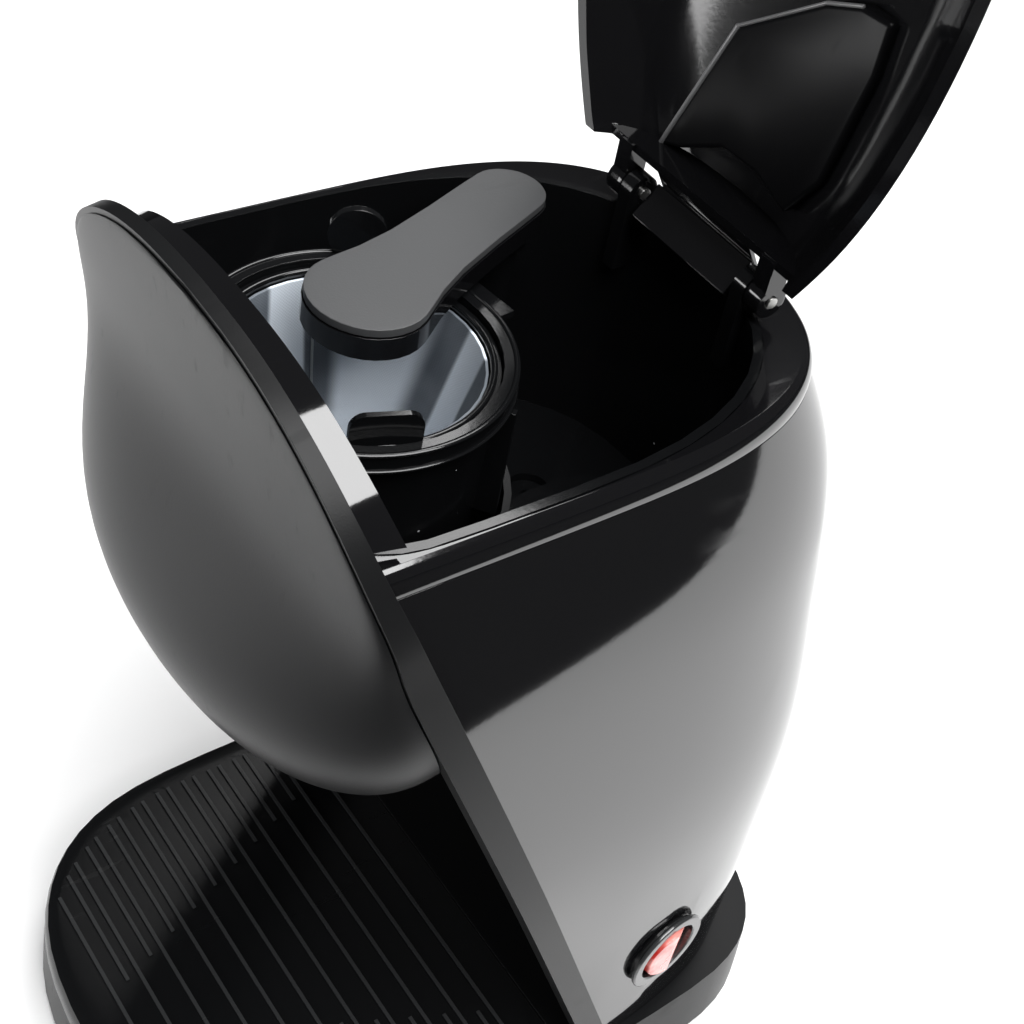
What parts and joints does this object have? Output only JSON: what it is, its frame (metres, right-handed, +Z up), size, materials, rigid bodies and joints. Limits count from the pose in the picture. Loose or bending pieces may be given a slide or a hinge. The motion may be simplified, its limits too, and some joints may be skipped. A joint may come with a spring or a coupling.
{
  "type": "drip coffee maker",
  "caption": "Compact two-cup drip coffee maker with a hinged domed lid, open water tank, lift-out filter, overhead water arm and ridged cup plate.",
  "frame": {"origin": "middle of the machine's box, on the surface it stands on, with the lid open", "axes": "+Z up, the cup plate and front look along -Y, the tank and hinge are towards +Y, the switch is on the +X side"},
  "size_m": [0.16, 0.22, 0.3932],
  "materials": {
    "gloss_black": "glossy black moulded plastic",
    "satin_black": "satin dark grey moulded plastic",
    "tank_black": "smooth black moulded plastic",
    "cover_satin": "satin dark grey moulded plastic",
    "filter_mesh": "fine woven metal mesh",
    "foot_rubber": "matt rubber",
    "rocker_red": "translucent red plastic",
    "screw_steel": "plain steel",
    "heater_aluminium": "cast, unpolished",
    "hose_silicone": "milky silicone"
  },
  "bodies": {
    "machine": {"base_housing": "satin_black", "base_cover": "satin_black", "foot_1": "foot_rubber", "foot_2": "foot_rubber", "foot_3": "foot_rubber", "foot_4": "foot_rubber", "base_screw_1": "screw_steel", "base_screw_2": "screw_steel", "base_screw_3": "screw_steel", "base_screw_4": "screw_steel", "body_shell": "gloss_black", "front_frame": "satin_black", "front_dome": "satin_black", "shield_liner": "gloss_black", "bay_panel": "satin_black", "tank": "tank_black", "tank_collar": "gloss_black", "riser_pipe": "tank_black", "outlet_spout": "tank_black", "hinge_pin_left": "screw_steel", "hinge_pin_right": "screw_steel", "hinge_baffle": "gloss_black", "bracket": "tank_black", "bracket_screw": "screw_steel", "switch_bezel": "satin_black", "switch_body": "satin_black", "heater": "heater_aluminium", "thermostat": "screw_steel", "thermal_fuse": "hose_silicone", "check_valve": "hose_silicone", "inlet_hose": "hose_silicone", "outlet_hose": "hose_silicone", "cord_gland": "foot_rubber"},
    "lid": {"lid_shell": "gloss_black", "lid_liner": "gloss_black"},
    "rocker": {"switch_rocker": "rocker_red"},
    "arm": {"water_arm": "gloss_black", "water_arm_cover": "cover_satin"},
    "tray": {"cup_tray": "satin_black"},
    "holder": {"filter_holder": "gloss_black", "holder_grip": "gloss_black"},
    "filter": {"filter_frame": "gloss_black", "filter_mesh": "filter_mesh"}
  },
  "joints": [
    {"name": "lid_hinge", "type": "hinge", "parent": "machine", "child": "lid", "pos_m": [0, 0.053, 0.2674], "axis": [1, 0, 0], "range_deg": [0, 90]},
    {"name": "switch_rock", "type": "hinge", "parent": "machine", "child": "rocker", "pos_m": [0.07247, 0.04177, 0.063], "axis": [0, 0, 1], "range_deg": [-18, 0]},
    {"name": "arm_swing", "type": "hinge", "parent": "machine", "child": "arm", "pos_m": [-0.02681, 0.01466, 0.268], "axis": [0, 0, 1], "range_deg": [0, 50]},
    {"name": "tray_lift", "type": "slide", "parent": "machine", "child": "tray", "axis": [0, -0.3987, 0.9171], "range_m": [0, 0.03]},
    {"name": "holder_lift", "type": "slide", "parent": "machine", "child": "holder", "axis": [0, 0, 1], "range_m": [0, 0.0015]},
    {"name": "filter_lift", "type": "slide", "parent": "holder", "child": "filter", "axis": [0, 0, 1], "range_m": [0, 0.003]}
  ]
}
